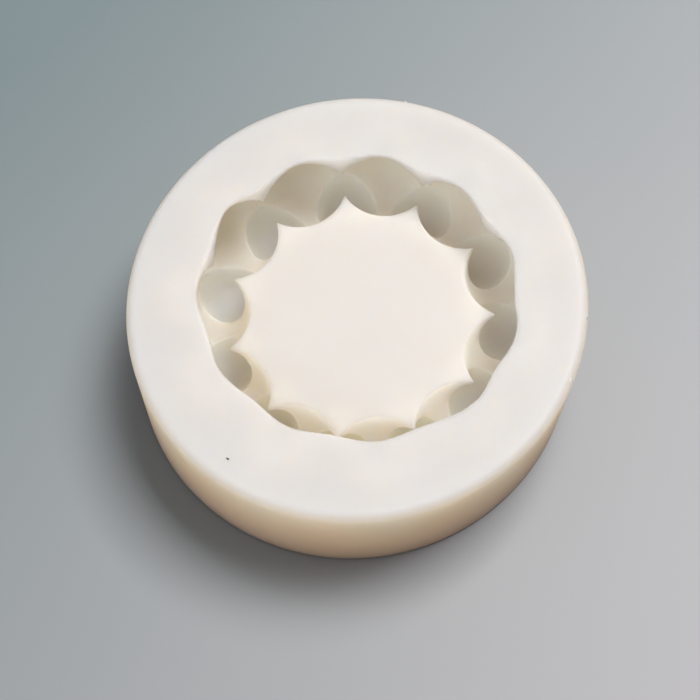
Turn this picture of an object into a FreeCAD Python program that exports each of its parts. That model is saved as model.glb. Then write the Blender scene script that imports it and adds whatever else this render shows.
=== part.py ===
import FreeCAD, Part
import math
import os

import Sketcher

# One-piece silicone casting mould: a thick round block with a shallow round recess
# in its top, a ring of big ball pockets round that recess and a ring of smaller ball
# pockets below and between them. Millimetres, +Z up, base on z = 0, and the Z axis
# is the axis of the two ball rings.

Vector = FreeCAD.Vector
TINY = 0.001

SIZES = [
    # the poured block
    ("block_radius", 42.0),
    ("block_height", 26.0),
    ("block_shift_x", -0.4),
    ("block_shift_y", -0.6),
    ("wall_lean", 1.8),
    ("top_edge_round", 1.8),
    ("foot_edge_round", 0.6),
    # the recess and the trimmed edge of its opening
    ("recess_depth", 9.6),
    ("opening_inset", 1.4),
    ("opening_oval", 0.7),
    ("opening_oval_angle", -34.0),
    ("opening_scallop", 0.4),
    # the two rings of ball pockets
    ("ball_count", 11),
    ("first_ball_angle", 7.0),
    ("big_ball_radius", 9.0),
    ("wall_at_balls", 3.2),
    ("lip_over_balls", 0.8),
    ("small_ball_radius", 6.0),
    ("small_ring_inset", 3.2),
    ("floor_under_balls", 3.3),
    # flash left on the top edge of the block
    ("flash_length", 0.7),
    ("flash_height", 0.35),
    # the dark grain stuck in the rim
    ("grain_length", 0.55),
    ("grain_width", 0.3),
    ("grain_taper", 0.06),
    ("grain_clearance", 0.02),
    ("grain_edge_inset", 4.15),
    ("grain_place", -134.0),
    ("grain_angle", 50.0),
]

# Where the scraps of flash stand round the block, and how far up its rounded edge
FLASH_ANGLES = [-15.0, 69.0, 147.5, -32.0]
FLASH_RISE = 45.0

# Sizes that follow from the driving ones, as the expressions write them
BIG_RING = "(sizes.block_radius - sizes.wall_at_balls - sizes.big_ball_radius)"
SMALL_RING = "(%s - sizes.small_ring_inset)" % BIG_RING
BIG_LEVEL = "sizes.block_height - sizes.lip_over_balls - sizes.big_ball_radius"
SMALL_LEVEL = "sizes.floor_under_balls + sizes.small_ball_radius"
SMALL_ANGLE = "(sizes.first_ball_angle + 180 / sizes.ball_count)"

doc = FreeCAD.newDocument("casting_mould")
sheet = doc.addObject("Spreadsheet::Sheet", "sizes")
for row, (name, value) in enumerate(SIZES, start=1):
    sheet.set("A%d" % row, name)
    sheet.set("B%d" % row, str(value))
    sheet.setAlias("B%d" % row, name)
doc.recompute()


def size(name):
    """A driving dimension, as the sheet holds it."""
    return float(sheet.get(name))


def plane(body, role):
    """One of a body's own origin planes or axes."""
    return next(item for item in body.Origin.OriginFeatures if item.Role == role)


def sketch_on(body, name, role, offsets):
    """An empty sketch on an origin plane, moved by expressions along the plane's axes."""
    sketch = body.newObject("Sketcher::SketchObject", name)
    sketch.AttachmentSupport = [(plane(body, role), "")]
    sketch.MapMode = "FlatFace"
    for axis, expression in zip("xyz", offsets):
        sketch.setExpression("AttachmentOffset.Base." + axis, expression)
    return sketch


def circle_sketch(body, name, radius, offsets):
    """A circle round the sketch's own centre."""
    sketch = sketch_on(body, name, "XY_Plane", offsets)
    sketch.addGeometry(Part.Circle(Vector(), Vector(0, 0, 1), size(radius)))
    sketch.addConstraint(Sketcher.Constraint("Coincident", 0, 3, -1, 1))
    ring = sketch.addConstraint(Sketcher.Constraint("Radius", 0, size(radius)))
    sketch.renameConstraint(ring, "ring")
    sketch.setExpression("Constraints.ring", "sizes." + radius)
    return sketch


def half_disc_sketch(body, name, radius, offsets, turn, lying):
    """The half disc that turns about its straight side, upright or lying, into a ball.

    Its plane goes through the Z axis. The seam and poles of the ball follow from the
    straight side, and each ring is given the side that keeps them clear of its neighbours.
    """
    sketch = sketch_on(body, name, "XZ_Plane", offsets)
    sketch.AttachmentOffset = FreeCAD.Placement(sketch.AttachmentOffset.Base,
                                                FreeCAD.Rotation(Vector(0, 1, 0), 90))
    sketch.setExpression("AttachmentOffset.Rotation.Angle", turn)
    reach = size(radius)
    start = -math.pi if lying else -math.pi / 2
    first = Vector(reach * math.cos(start), reach * math.sin(start), 0)
    circle = Part.Circle(Vector(), Vector(0, 0, 1), reach)
    sketch.addGeometry(Part.ArcOfCircle(circle, start, start + math.pi))
    sketch.addGeometry(Part.LineSegment(-first, first))
    straight_on = -1 if lying else -2
    sketch.addConstraint(Sketcher.Constraint("Coincident", 0, 3, -1, 1))
    sketch.addConstraint(Sketcher.Constraint("Coincident", 0, 2, 1, 1))
    sketch.addConstraint(Sketcher.Constraint("Coincident", 0, 1, 1, 2))
    sketch.addConstraint(Sketcher.Constraint("PointOnObject", 1, 1, straight_on))
    sketch.addConstraint(Sketcher.Constraint("PointOnObject", 1, 2, straight_on))
    reach_rule = sketch.addConstraint(Sketcher.Constraint("Radius", 0, reach))
    sketch.renameConstraint(reach_rule, "ball")
    sketch.setExpression("Constraints.ball", "sizes." + radius)
    return sketch


def round_edge_at(body, base, name, height, radius):
    """Round the block's edge circle that lies at this height."""
    edges = []
    for number, edge in enumerate(base.Shape.Edges, start=1):
        box = edge.BoundBox
        if abs(box.ZMin - height) < TINY and abs(box.ZMax - height) < TINY:
            edges.append("Edge%d" % number)
    fillet = body.newObject("PartDesign::Fillet", name)
    fillet.Base = (base, edges)
    fillet.setExpression("Radius", "sizes." + radius)
    doc.recompute()
    return fillet


def poured_block(body):
    """The block on its base circle, its wall leaning a little as it was poured."""
    foot = circle_sketch(body, "foot_circle", "block_radius",
                         ["sizes.block_shift_x - sizes.wall_lean", "sizes.block_shift_y", "0"])
    wall = body.newObject("PartDesign::Pad", "leaning_wall")
    wall.Profile = foot
    wall.UseCustomVector = True
    wall.AlongSketchNormal = True
    wall.setExpression("Direction.x", "sizes.wall_lean")
    wall.setExpression("Direction.y", "0")
    wall.setExpression("Direction.z", "sizes.block_height")
    wall.setExpression("Length", "sizes.block_height")
    doc.recompute()
    rounded = round_edge_at(body, wall, "top_edge", size("block_height"), "top_edge_round")
    round_edge_at(body, rounded, "foot_edge", 0.0, "foot_edge_round")


def ball_ring(body, name, radius, ring, level, angle, lying):
    """A ball pocket, repeated evenly round the Z axis."""
    before = body.Shape.Volume
    sketch = half_disc_sketch(body, name + "_profile", radius,
                              ["%s * cos(%s)" % (ring, angle), level,
                               "-1 * %s * sin(%s)" % (ring, angle)], angle, lying)
    groove = body.newObject("PartDesign::Groove", name + "_pocket")
    groove.Profile = sketch
    groove.ReferenceAxis = (sketch, ["H_Axis" if lying else "V_Axis"])
    groove.Angle = 360.0
    doc.recompute()
    pattern = body.newObject("PartDesign::PolarPattern", name + "_ring")
    pattern.Originals = [groove]
    pattern.Axis = (plane(body, "Z_Axis"), [""])
    pattern.Angle = 360.0
    pattern.setExpression("Occurrences", "sizes.ball_count")
    body.Tip = pattern
    doc.recompute()
    removed = before - body.Shape.Volume
    assert removed > size("ball_count") * size(radius) ** 3, name + " removed too little"
    return pattern


def opening_outline():
    """The trimmed edge of the opening: a slight oval, scalloped once for each ball."""
    mean_reach = (size("block_radius") - size("wall_at_balls") - size("big_ball_radius")
                  - size("opening_inset"))
    count = int(size("ball_count"))
    steps = 6 * count
    points = []
    for step in range(steps):
        turn = 2 * math.pi * step / steps
        oval = math.cos(2 * (turn - math.radians(size("opening_oval_angle"))))
        scallop = math.cos(count * (turn - math.radians(size("first_ball_angle"))))
        reach = mean_reach + size("opening_oval") * oval + size("opening_scallop") * scallop
        points.append(Vector(reach * math.cos(turn), reach * math.sin(turn), 0))
    curve = Part.BSplineCurve()
    curve.interpolate(points, PeriodicFlag=True)
    return Part.Wire([curve.toShape()])


def recess_cutter():
    """The space above the raised floor, out through the top of the block."""
    cutter = doc.addObject("Part::Feature", "recess_cutter")
    face = Part.Face(opening_outline())
    cutter.Shape = face.extrude(Vector(0, 0, 2 * size("recess_depth")))
    level = size("block_height") - size("recess_depth")
    cutter.Placement = FreeCAD.Placement(Vector(0, 0, level), FreeCAD.Rotation())
    return cutter


def grain_shape(name, growth):
    """The splinter of grit, half sunk in the rim, larger all round by this growth."""
    grain = doc.addObject("Part::Wedge", name)
    wide = "sizes.grain_width / 2 + " + growth
    narrow = "sizes.grain_width / 2 - sizes.grain_taper + " + growth
    for thick_end, thin_end in (("X", "X2"), ("Z", "Z2")):
        grain.setExpression(thick_end + "min", "-1 * (%s)" % wide)
        grain.setExpression(thick_end + "max", wide)
        grain.setExpression(thin_end + "min", "-1 * (%s)" % narrow)
        grain.setExpression(thin_end + "max", narrow)
    grain.setExpression("Ymin", "-1 * (sizes.grain_length / 2 + %s)" % growth)
    grain.setExpression("Ymax", "sizes.grain_length / 2 + " + growth)
    reach = "(sizes.block_radius - sizes.grain_edge_inset)"
    grain.setExpression("Placement.Base.x",
                        "sizes.block_shift_x + %s * cos(sizes.grain_place)" % reach)
    grain.setExpression("Placement.Base.y",
                        "sizes.block_shift_y + %s * sin(sizes.grain_place)" % reach)
    grain.setExpression("Placement.Base.z", "sizes.block_height")
    grain.setExpression("Placement.Rotation.Angle", "sizes.grain_angle")
    return grain


def flash_nub(number, angle):
    """A scrap of flash that stands off the block's top edge."""
    nub = doc.addObject("Part::Ellipsoid", "flash_%d" % number)
    nub.setExpression("Radius2", "sizes.flash_length / 2")
    nub.setExpression("Radius3", "sizes.flash_length / 2")
    nub.setExpression("Radius1", "sizes.flash_height / 2")
    nub.Angle1 = -90
    nub.Angle2 = 90
    nub.Angle3 = 360
    reach = "(sizes.block_radius - sizes.top_edge_round * (1 - cos(%g)))" % FLASH_RISE
    nub.setExpression("Placement.Base.x", "sizes.block_shift_x + %s * cos(%g)" % (reach, angle))
    nub.setExpression("Placement.Base.y", "sizes.block_shift_y + %s * sin(%g)" % (reach, angle))
    nub.setExpression("Placement.Base.z",
                      "sizes.block_height - sizes.top_edge_round * (1 - sin(%g))" % FLASH_RISE)
    return nub


def cut(name, base, tool):
    """One shape with another taken away."""
    result = doc.addObject("Part::Cut", name)
    result.Base = base
    result.Tool = tool
    return result


def mould_body():
    """The whole silicone casting."""
    body = doc.addObject("PartDesign::Body", "block")
    poured_block(body)
    ball_ring(body, "big_ball", "big_ball_radius", BIG_RING, BIG_LEVEL,
              "sizes.first_ball_angle", lying=False)
    ball_ring(body, "small_ball", "small_ball_radius", SMALL_RING, SMALL_LEVEL,
              SMALL_ANGLE, lying=True)
    opened = cut("opened_block", body, recess_cutter())
    pitted = cut("pitted_block", opened, grain_shape("grain_pit", "sizes.grain_clearance"))
    nubs = [flash_nub(number, angle) for number, angle in enumerate(FLASH_ANGLES, start=1)]
    whole = doc.addObject("Part::MultiFuse", "mould_body")
    whole.Shapes = [pitted] + nubs
    return whole


def checked(parts):
    """Every object computed, and every part one valid solid."""
    doc.recompute()
    for item in doc.Objects:
        for state in ("Invalid", "Error"):
            assert state not in item.State, "%s is %s" % (item.Name, state)
    for item in parts:
        shape = item.Shape
        assert not shape.isNull() and shape.isValid(), item.Label + " has no valid shape"
        assert len(shape.Solids) == 1, "%s has %d solids" % (item.Label, len(shape.Solids))


def write(parts):
    """One STEP file for each part."""
    os.makedirs("parts", exist_ok=True)
    for item in parts:
        item.Shape.exportStep("parts/%s.step" % item.Label)
        box = item.Shape.BoundBox
        print("%s volume %.2f box %.2f %.2f %.2f to %.2f %.2f %.2f"
              % (item.Label, item.Shape.Volume, box.XMin, box.YMin, box.ZMin,
                 box.XMax, box.YMax, box.ZMax))


pieces = [mould_body(), grain_shape("rim_grain", "0")]
for piece in pieces:
    piece.Label = piece.Name
checked(pieces)
write(pieces)
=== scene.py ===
import math

import bmesh
import bpy
from mathutils import Matrix, Vector


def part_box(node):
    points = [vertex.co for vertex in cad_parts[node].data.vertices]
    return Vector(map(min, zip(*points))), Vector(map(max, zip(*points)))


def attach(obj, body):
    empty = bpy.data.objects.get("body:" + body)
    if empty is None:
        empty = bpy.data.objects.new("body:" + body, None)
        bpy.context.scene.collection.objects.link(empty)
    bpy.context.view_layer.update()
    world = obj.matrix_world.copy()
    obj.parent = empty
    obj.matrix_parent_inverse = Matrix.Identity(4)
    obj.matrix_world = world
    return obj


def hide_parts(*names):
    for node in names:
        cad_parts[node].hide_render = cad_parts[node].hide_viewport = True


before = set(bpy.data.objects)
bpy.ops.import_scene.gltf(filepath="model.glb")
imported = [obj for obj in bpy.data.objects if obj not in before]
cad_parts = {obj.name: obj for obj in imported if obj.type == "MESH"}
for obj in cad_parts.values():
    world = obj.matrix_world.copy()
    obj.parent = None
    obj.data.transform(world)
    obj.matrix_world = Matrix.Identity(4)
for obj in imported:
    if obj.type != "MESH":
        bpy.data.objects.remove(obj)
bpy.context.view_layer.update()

MM = 0.001
FULL_TURN = 2 * math.pi

# The block, which leans a little towards its top
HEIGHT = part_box("mould_body")[1].z
BLOCK_RADIUS = 42.0 * MM
WALL_LEAN = 1.8 * MM
TOP_CENTRE = Vector((-0.4 * MM, -0.6 * MM, HEIGHT))
TOP_ROUND = 1.8 * MM
FOOT_ROUND = 0.6 * MM

# The two rings of ball pockets
BALL_COUNT = 11
FIRST_BALL_ANGLE = math.radians(7.0)
BIG_BALL_RADIUS = 9.0 * MM
WALL_AT_BALLS = 3.2 * MM
LIP_OVER_BALLS = 0.8 * MM
SMALL_BALL_RADIUS = 6.0 * MM
SMALL_RING_INSET = 3.2 * MM
FLOOR_UNDER_BALLS = 3.3 * MM
BIG_RING = BLOCK_RADIUS - WALL_AT_BALLS - BIG_BALL_RADIUS

# The recess, whose hand-trimmed opening is slightly oval and scalloped and has two corners
RECESS_DEPTH = 9.6 * MM
OPENING_RADIUS = BIG_RING - 1.4 * MM
OPENING_OVAL = 0.7 * MM
OPENING_OVAL_ANGLE = math.radians(-34.0)
OPENING_SCALLOP = 0.4 * MM
CORNER_ANGLES = [math.radians(135.0), math.radians(-50.0)]
CORNER_SIZE = 0.6 * MM
CORNER_SPREAD = math.radians(7.0)

# The scraps of flash on the block's top edge
FLASH_ANGLES = [math.radians(angle) for angle in (-15.0, 69.0, 147.5, -32.0)]
FLASH_RISE = math.radians(45.0)
FLASH_LENGTH = 0.7 * MM
FLASH_HEIGHT = 0.35 * MM

# How finely round shapes are cut, and how softly the silicone took them up
BLOCK_SIDES = 256
EDGE_STEPS = 8
OPENING_SIDES = 264
VOXEL = 0.3 * MM
SMOOTHING_PASSES = 4

# The silicone is one milky white, painted in lit and shaded copies: darker on its open faces
# from the raised floor up to the rim, where the lamps fall full;
# a painted warm glow in its hollows from the bottom up and on upright faces inside; and painted
# shade down the outer wall
# Open faces are written darker than the rest: painted shade against the full lamp light
OPEN_COLOURS = [(0.63, (0.60, 0.59, 0.575, 1.0)), (1.0, (0.56, 0.562, 0.567, 1.0))]
# Painted glow: the hollows are written near white and warm, standing in for light coming through
# the silicone into them
HOLLOW_PAINTED_GLOW_COLOURS = [(0.2, (0.992, 0.885, 0.725, 1.0)), (0.62, (0.998, 0.957, 0.845, 1.0))]
# Painted glow: upright faces inside the cavity are written near white, standing in for light
# coming through the thin silicone
INNER_PAINTED_GLOW_COLOUR = (0.985, 0.95, 0.89, 1.0)
# Painted shade: the outer wall is written darker and browner towards the floor, where less light
# reaches it
OUTER_WALL_PAINTED_SHADE_COLOURS = [(0.0, (0.42, 0.30, 0.21, 1.0)), (0.5, (0.63, 0.49, 0.35, 1.0)),
                (1.0, (0.81, 0.68, 0.54, 1.0))]
MOTTLE_COLOURS = [(0.35, (0.985, 0.98, 0.975, 1.0)), (0.65, (1.0, 1.0, 1.0, 1.0))]
MOTTLE_SCALE = 60.0
OUTER_REACH = 34.0 * MM
OUTER_BLEND = 4.0 * MM

# How shut in a place is, which sets how much painted glow the hollows take, and how far light
# travels below the skin there
HOLLOW_REACH = 12.0 * MM
HOLLOW_GAIN = 1.7
OPEN_SCATTER = 10.0 * MM
DEEP_SCATTER = 40.0 * MM
SCATTER_BY_COLOUR = (1.0, 0.8, 0.6)
SILICONE_ROUGHNESS = 0.55
SILICONE_IOR = 1.41
SKIN_SCALE = 900.0
SKIN_DEPTH = 0.1 * MM
SKIN_STRENGTH = 0.08

# The grit and the floor
GRIT_COLOURS = [(0.3, (0.012, 0.011, 0.010, 1.0)), (0.7, (0.05, 0.045, 0.04, 1.0))]
GRIT_SCALE = 4000.0
GRIT_ROUGHNESS = 0.7
# The floor's own blue-grey with painted light, running paler towards the near right
FLOOR_COLOURS_AND_PAINTED_LIGHT = [(0.0, (0.217, 0.285, 0.318, 1.0)), (1.0, (0.48, 0.495, 0.54, 1.0))]
FLOOR_MOTTLE = [(0.3, (0.98, 0.98, 0.98, 1.0)), (0.7, (1.0, 1.0, 1.0, 1.0))]
FLOOR_MOTTLE_SCALE = 12.0
FLOOR_PAINTED_LIGHT_LENGTH = 200.0 * MM
FLOOR_PAINTED_LIGHT_HEADING = math.radians(-53.0)
FLOOR_ROUGHNESS = 0.6
FLOOR_HALF_SIDE = 3.0

# The light: a plain room, a key lamp, and a fill lamp that only lights the mould
ROOM_COLOURS = [(0.0, (0.17, 0.11, 0.07, 1.0)), (0.45, (0.23, 0.195, 0.16, 1.0)),
                (1.0, (0.30, 0.315, 0.33, 1.0))]
LAMP_DISTANCE = 1.0
KEY = {"azimuth": math.radians(31.0), "elevation": math.radians(65.0), "size": 0.45,
       "power": 9.4, "colour": (1.0, 0.95, 0.90)}
FILL = {"azimuth": math.radians(-138.0), "elevation": math.radians(55.0), "size": 0.9,
        "power": 5.6, "colour": (1.0, 1.0, 1.0)}

# The camera, recovered from the block's outline in the photograph
IMAGE_SIZE = 700
FOCAL_PIXELS = 1500.0
SENSOR_WIDTH = 36.0
CAMERA_ELEVATION = math.radians(67.73)
CAMERA_ROLL = math.radians(-8.455)
CAMERA_DISTANCE = 295.2 * MM
CAMERA_TARGET = Vector((-2.85 * MM, -0.34 * MM, 0.0))
NEAREST_SEEN = 10.0 * MM


def link(mesh, name):
    """A new object for this mesh."""
    piece = bpy.data.objects.new(name, mesh)
    bpy.context.scene.collection.objects.link(piece)
    return piece


def finished(shape, name):
    """The worked shape as a mesh."""
    mesh = bpy.data.meshes.new(name)
    shape.to_mesh(mesh)
    shape.free()
    return mesh


def on_circle(radius, turn, level):
    """A point round the cavity's axis."""
    return Vector((radius * math.cos(turn), radius * math.sin(turn), level))


def block_profile():
    """Points from the middle of the base out, up the wall and back to the middle of the top."""
    quarter = [math.pi / 2 * step / EDGE_STEPS for step in range(EDGE_STEPS + 1)]
    foot = [(BLOCK_RADIUS - FOOT_ROUND * (1 - math.sin(turn)), FOOT_ROUND * (1 - math.cos(turn)))
            for turn in quarter]
    top = [(BLOCK_RADIUS - TOP_ROUND * (1 - math.cos(turn)),
            HEIGHT - TOP_ROUND * (1 - math.sin(turn))) for turn in quarter]
    return [(0.0, 0.0)] + foot + top + [(0.0, HEIGHT)]


def block_ring(shape, reach, height):
    """One level of the block: a ring of points, or a single one on the axis."""
    lean = WALL_LEAN * (height / HEIGHT - 1)
    middle = Vector((TOP_CENTRE.x + lean, TOP_CENTRE.y, 0.0))
    if reach == 0.0:
        return [shape.verts.new(middle + Vector((0.0, 0.0, height)))]
    return [shape.verts.new(middle + on_circle(reach, FULL_TURN * side / BLOCK_SIDES, height))
            for side in range(BLOCK_SIDES)]


def block_mesh():
    """The solid block, turned from its profile."""
    shape = bmesh.new()
    rings = [block_ring(shape, reach, height) for reach, height in block_profile()]
    for low, high in zip(rings, rings[1:]):
        for side in range(BLOCK_SIDES):
            after = (side + 1) % BLOCK_SIDES
            if len(low) == 1:
                shape.faces.new((low[0], high[after], high[side]))
            elif len(high) == 1:
                shape.faces.new((low[side], low[after], high[0]))
            else:
                shape.faces.new((low[side], low[after], high[after], high[side]))
    bmesh.ops.recalc_face_normals(shape, faces=shape.faces)
    return finished(shape, "block")


def ball_ring(radius, ring, level, first_turn):
    """One ring of the balls that the silicone was poured round."""
    balls = []
    for number in range(BALL_COUNT):
        shape = bmesh.new()
        bmesh.ops.create_uvsphere(shape, u_segments=64, v_segments=32, radius=radius)
        centre = on_circle(ring, first_turn + FULL_TURN * number / BALL_COUNT, level)
        bmesh.ops.translate(shape, verts=shape.verts, vec=centre)
        balls.append(finished(shape, "ball"))
    return balls


def opening_reach(turn):
    """How far the trimmed edge of the opening is from the cavity's axis."""
    reach = OPENING_RADIUS + OPENING_OVAL * math.cos(2 * (turn - OPENING_OVAL_ANGLE))
    reach += OPENING_SCALLOP * math.cos(BALL_COUNT * (turn - FIRST_BALL_ANGLE))
    for corner in CORNER_ANGLES:
        away = (turn - corner + math.pi) % FULL_TURN - math.pi
        reach += CORNER_SIZE * math.exp(-(away / CORNER_SPREAD) ** 2)
    return reach


def recess_mesh():
    """The space above the raised floor, out through the top."""
    shape = bmesh.new()
    turns = [FULL_TURN * side / OPENING_SIDES for side in range(OPENING_SIDES)]
    low, high = [[shape.verts.new(on_circle(opening_reach(turn), turn, level)) for turn in turns]
                 for level in (HEIGHT - RECESS_DEPTH, HEIGHT + RECESS_DEPTH)]
    shape.faces.new(low[::-1])
    shape.faces.new(high)
    for side in range(OPENING_SIDES):
        after = (side + 1) % OPENING_SIDES
        shape.faces.new((low[side], low[after], high[after], high[side]))
    bmesh.ops.recalc_face_normals(shape, faces=shape.faces)
    return finished(shape, "recess")


def flash_mesh(turn):
    """One scrap of flash that stands off the block's top edge."""
    shape = bmesh.new()
    bmesh.ops.create_uvsphere(shape, u_segments=24, v_segments=12, radius=0.5)
    for face in shape.faces:
        face.smooth = True
    bmesh.ops.scale(shape, verts=shape.verts, vec=(FLASH_LENGTH, FLASH_LENGTH, FLASH_HEIGHT))
    reach = BLOCK_RADIUS - TOP_ROUND * (1 - math.cos(FLASH_RISE))
    sunk = TOP_ROUND * (1 - math.sin(FLASH_RISE))
    bmesh.ops.translate(shape, verts=shape.verts, vec=TOP_CENTRE + on_circle(reach, turn, -sunk))
    return finished(shape, "flash")


def applied(piece):
    """The piece with its modifiers applied."""
    graph = bpy.context.evaluated_depsgraph_get()
    mesh = bpy.data.meshes.new_from_object(piece.evaluated_get(graph))
    piece.modifiers.clear()
    piece.data = mesh
    return piece


def combined(piece, operation, meshes):
    """The piece with each mesh cut away or joined on."""
    tools = [link(mesh, "tool") for mesh in meshes]
    for tool in tools:
        step = piece.modifiers.new("step", "BOOLEAN")
        step.operation = operation
        step.solver = "MANIFOLD"
        step.object = tool
    applied(piece)
    for tool in tools:
        bpy.data.objects.remove(tool)
    return piece


def cast_silicone():
    """The block less its cavity, as one soft-edged skin with its scraps of flash."""
    mould = link(block_mesh(), "silicone_mould")
    big_balls = ball_ring(BIG_BALL_RADIUS, BIG_RING, HEIGHT - LIP_OVER_BALLS - BIG_BALL_RADIUS,
                          FIRST_BALL_ANGLE)
    small_balls = ball_ring(SMALL_BALL_RADIUS, BIG_RING - SMALL_RING_INSET,
                            FLOOR_UNDER_BALLS + SMALL_BALL_RADIUS,
                            FIRST_BALL_ANGLE + FULL_TURN / BALL_COUNT / 2)
    combined(mould, "DIFFERENCE", [recess_mesh()] + big_balls + small_balls)
    skin = mould.modifiers.new("skin", "REMESH")
    skin.mode = "VOXEL"
    skin.voxel_size = VOXEL
    skin.use_smooth_shade = True
    soften = mould.modifiers.new("soften", "SMOOTH")
    soften.factor = 0.5
    soften.iterations = SMOOTHING_PASSES
    applied(mould)
    return combined(mould, "UNION", [flash_mesh(turn) for turn in FLASH_ANGLES])


def new_material(name):
    """A material with its node tree and its main shader."""
    material = bpy.data.materials.new(name)
    material.use_nodes = True
    tree = material.node_tree
    return material, tree, tree.nodes["Principled BSDF"]


def feed(tree, sockets, values):
    """Gives each socket its value: another node's output or a plain one."""
    for socket, value in zip(sockets, values):
        if isinstance(value, bpy.types.NodeSocket):
            tree.links.new(value, socket)
        else:
            socket.default_value = value


def colour_ramp(tree, factor, stops):
    """A run of colours along a factor."""
    ramp = tree.nodes.new("ShaderNodeValToRGB")
    for element, (position, colour) in zip(ramp.color_ramp.elements, (stops[0], stops[-1])):
        element.position = position
        element.color = colour
    for position, colour in stops[1:-1]:
        ramp.color_ramp.elements.new(position).color = colour
    tree.links.new(factor, ramp.inputs["Fac"])
    return ramp.outputs["Color"]


def cloud(tree, scale, detail):
    """A noise over the object's own space."""
    place = tree.nodes.new("ShaderNodeTexCoord")
    noise = tree.nodes.new("ShaderNodeTexNoise")
    feed(tree, (noise.inputs["Vector"], noise.inputs["Scale"], noise.inputs["Detail"]),
         (place.outputs["Object"], scale, detail))
    return noise.outputs["Fac"]


def arithmetic(tree, operation, first, second, clamped=False):
    """One step of arithmetic between sockets or plain numbers."""
    node = tree.nodes.new("ShaderNodeMath")
    node.operation = operation
    node.use_clamp = clamped
    feed(tree, node.inputs, (first, second))
    return node.outputs["Value"]


def blend(tree, kind, factor, first, second):
    """Two colours, mixed or multiplied."""
    node = tree.nodes.new("ShaderNodeMix")
    node.data_type = "RGBA"
    node.blend_type = kind
    colours = [socket for socket in node.inputs if socket.type == "RGBA"]
    feed(tree, [node.inputs["Factor"]] + colours, (factor, first, second))
    return next(socket for socket in node.outputs if socket.type == "RGBA")


def split(tree, vector):
    """A vector's three parts."""
    node = tree.nodes.new("ShaderNodeSeparateXYZ")
    tree.links.new(vector, node.inputs["Vector"])
    return node.outputs


def outside_share(tree, place):
    """0 in the cavity and 1 out at the wall, from the distance to the cavity's axis."""
    squares = [arithmetic(tree, "POWER", place[axis], 2.0) for axis in ("X", "Y")]
    from_axis = arithmetic(tree, "SQRT", arithmetic(tree, "ADD", *squares), 0.0)
    past_cavity = arithmetic(tree, "SUBTRACT", from_axis, OUTER_REACH)
    return arithmetic(tree, "DIVIDE", past_cavity, OUTER_BLEND, clamped=True)


def shut_in_share(tree):
    """0 where the silicone is open and 1 where it is well shut in."""
    hollow = tree.nodes.new("ShaderNodeAmbientOcclusion")
    hollow.only_local = True
    hollow.inputs["Distance"].default_value = HOLLOW_REACH
    share = arithmetic(tree, "SUBTRACT", 1.0, hollow.outputs["AO"])
    return arithmetic(tree, "MULTIPLY", share, HOLLOW_GAIN, clamped=True)


def silicone_look(tree):
    """The colour and the reach of scattered light: paler where the silicone is open, warmer and
    deeper in the hollows and down the outer wall. The colour is painted light and shade: a
    painted warm glow in the hollows and on upright faces inside, and painted shade down the
    outer wall."""
    surface = tree.nodes.new("ShaderNodeNewGeometry")
    place = split(tree, surface.outputs["Position"])
    height = arithmetic(tree, "DIVIDE", place["Z"], HEIGHT)
    upward = split(tree, surface.outputs["Normal"])["Z"]
    sideways = arithmetic(tree, "SUBTRACT", 1.0, upward, clamped=True)
    shut_in = shut_in_share(tree)
    # Upright faces: the painted glow colour inside the cavity, the painted shade ramp down the
    # outer wall
    wall = blend(tree, "MIX", outside_share(tree, place), INNER_PAINTED_GLOW_COLOUR,
                 colour_ramp(tree, height, OUTER_WALL_PAINTED_SHADE_COLOURS))
    # Facing picks the painted copy: upward faces take the darker open colour, upright faces the
    # wall colours
    colour = blend(tree, "MIX", sideways, colour_ramp(tree, height, OPEN_COLOURS), wall)
    # Painted glow: the more shut in a place is, the more it takes the hollow colour
    colour = blend(tree, "MIX", shut_in, colour, colour_ramp(tree, height, HOLLOW_PAINTED_GLOW_COLOURS))
    mottle = colour_ramp(tree, cloud(tree, MOTTLE_SCALE, 3.0), MOTTLE_COLOURS)
    reach = arithmetic(tree, "MAXIMUM", sideways, shut_in)
    reach = arithmetic(tree, "MULTIPLY", reach, DEEP_SCATTER - OPEN_SCATTER)
    reach = arithmetic(tree, "ADD", reach, OPEN_SCATTER)
    return blend(tree, "MULTIPLY", 1.0, colour, mottle), reach


def silicone_material():
    """Milky silicone: light sinks in and comes out warm, helped by the painted warm glow in its
    hollows, under a soft satin skin.
    """
    material, tree, shader = new_material("silicone")
    colour, reach = silicone_look(tree)
    tree.links.new(colour, shader.inputs["Base Color"])
    tree.links.new(reach, shader.inputs["Subsurface Scale"])
    shader.inputs["Subsurface Weight"].default_value = 1.0
    shader.inputs["Subsurface Radius"].default_value = SCATTER_BY_COLOUR
    shader.inputs["Roughness"].default_value = SILICONE_ROUGHNESS
    shader.inputs["IOR"].default_value = SILICONE_IOR
    bump = tree.nodes.new("ShaderNodeBump")
    bump.inputs["Strength"].default_value = SKIN_STRENGTH
    bump.inputs["Distance"].default_value = SKIN_DEPTH
    tree.links.new(cloud(tree, SKIN_SCALE, 4.0), bump.inputs["Height"])
    tree.links.new(bump.outputs["Normal"], shader.inputs["Normal"])
    return material


def grit_material():
    """Almost black grit."""
    material, tree, shader = new_material("grit")
    colour = colour_ramp(tree, cloud(tree, GRIT_SCALE, 3.0), GRIT_COLOURS)
    tree.links.new(colour, shader.inputs["Base Color"])
    shader.inputs["Roughness"].default_value = GRIT_ROUGHNESS
    return material


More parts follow.
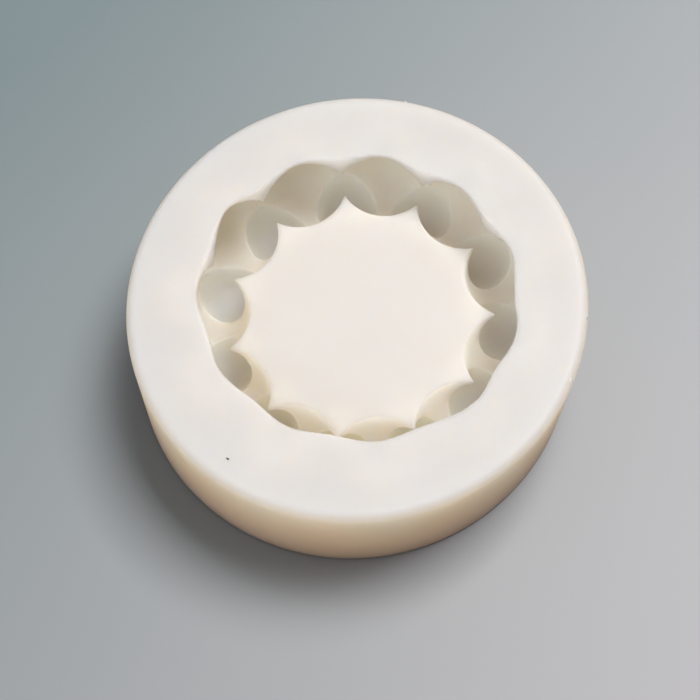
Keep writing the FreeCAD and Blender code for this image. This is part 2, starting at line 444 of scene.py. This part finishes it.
def floor_material():
    """A plain blue-grey sheet with painted light: it grows paler towards the near right."""
    material, tree, shader = new_material("floor")
    surface = tree.nodes.new("ShaderNodeNewGeometry")
    place = split(tree, surface.outputs["Position"])
    # Painted light: how far a point lies along the floor towards the near right
    along = arithmetic(tree, "ADD",
                       arithmetic(tree, "MULTIPLY", place["X"], math.cos(FLOOR_PAINTED_LIGHT_HEADING)),
                       arithmetic(tree, "MULTIPLY", place["Y"], math.sin(FLOOR_PAINTED_LIGHT_HEADING)))
    along = arithmetic(tree, "DIVIDE", along, FLOOR_PAINTED_LIGHT_LENGTH)
    along = arithmetic(tree, "ADD", along, 0.5, clamped=True)
    shade = colour_ramp(tree, along, FLOOR_COLOURS_AND_PAINTED_LIGHT)
    mottle = colour_ramp(tree, cloud(tree, FLOOR_MOTTLE_SCALE, 2.0), FLOOR_MOTTLE)
    tree.links.new(blend(tree, "MULTIPLY", 1.0, shade, mottle), shader.inputs["Base Color"])
    shader.inputs["Roughness"].default_value = FLOOR_ROUGHNESS
    return material


def add_floor():
    """The plain floor under the object."""
    shape = bmesh.new()
    bmesh.ops.create_grid(shape, x_segments=2, y_segments=2, size=FLOOR_HALF_SIDE)
    floor = link(finished(shape, "floor"), "floor")
    floor.data.materials.append(floor_material())


def add_lamp(name, kind):
    """A soft square lamp that faces the object."""
    lamp = bpy.data.lights.new(name, "AREA")
    lamp.size = kind["size"]
    lamp.energy = kind["power"]
    lamp.color = kind["colour"]
    holder = bpy.data.objects.new(name, lamp)
    away = on_circle(math.cos(kind["elevation"]), kind["azimuth"], math.sin(kind["elevation"]))
    holder.location = away * LAMP_DISTANCE
    holder.rotation_euler = away.to_track_quat("Z", "Y").to_euler()
    bpy.context.scene.collection.objects.link(holder)
    return holder


def light_only(lamp, pieces):
    """Keeps the lamp's light off everything but these pieces."""
    lit = bpy.data.collections.new("lit_by_" + lamp.name)
    for piece in pieces:
        lit.objects.link(piece)
    lamp.light_linking.receiver_collection = lit


def add_room():
    """A plain room: cool and light overhead, dimmer and warm towards the horizon."""
    world = bpy.data.worlds.new("room")
    world.use_nodes = True
    tree = world.node_tree
    place = tree.nodes.new("ShaderNodeTexCoord")
    height = split(tree, place.outputs["Generated"])["Z"]
    glow = colour_ramp(tree, height, ROOM_COLOURS)
    tree.links.new(glow, tree.nodes["Background"].inputs["Color"])
    bpy.context.scene.world = world


def add_camera():
    """The photograph's camera: its height, its slight roll and its distance."""
    back = Vector((0.0, -math.cos(CAMERA_ELEVATION), math.sin(CAMERA_ELEVATION)))
    level = Vector((1.0, 0.0, 0.0))
    upright = back.cross(level)
    right = math.cos(CAMERA_ROLL) * level + math.sin(CAMERA_ROLL) * upright
    up = back.cross(right)
    lens = bpy.data.cameras.new("camera")
    lens.sensor_width = SENSOR_WIDTH
    lens.lens = FOCAL_PIXELS / IMAGE_SIZE * SENSOR_WIDTH
    lens.clip_start = NEAREST_SEEN
    camera = bpy.data.objects.new("camera", lens)
    turn = Matrix((right, up, back)).transposed().to_4x4()
    camera.matrix_world = Matrix.Translation(CAMERA_TARGET + back * CAMERA_DISTANCE) @ turn
    bpy.context.scene.collection.objects.link(camera)
    bpy.context.scene.camera = camera


mould = cast_silicone()
silicone = silicone_material()
mould.data.materials.clear()
mould.data.materials.append(silicone)
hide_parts("mould_body")
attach(mould, "root")
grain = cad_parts["rim_grain"]
grain.material_slots[0].material = grit_material()
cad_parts["mould_body"].material_slots[0].material = silicone

add_floor()
add_room()
add_lamp("key", KEY)
light_only(add_lamp("fill", FILL), [mould, grain])
add_camera()
bpy.context.scene.view_settings.view_transform = "Standard"
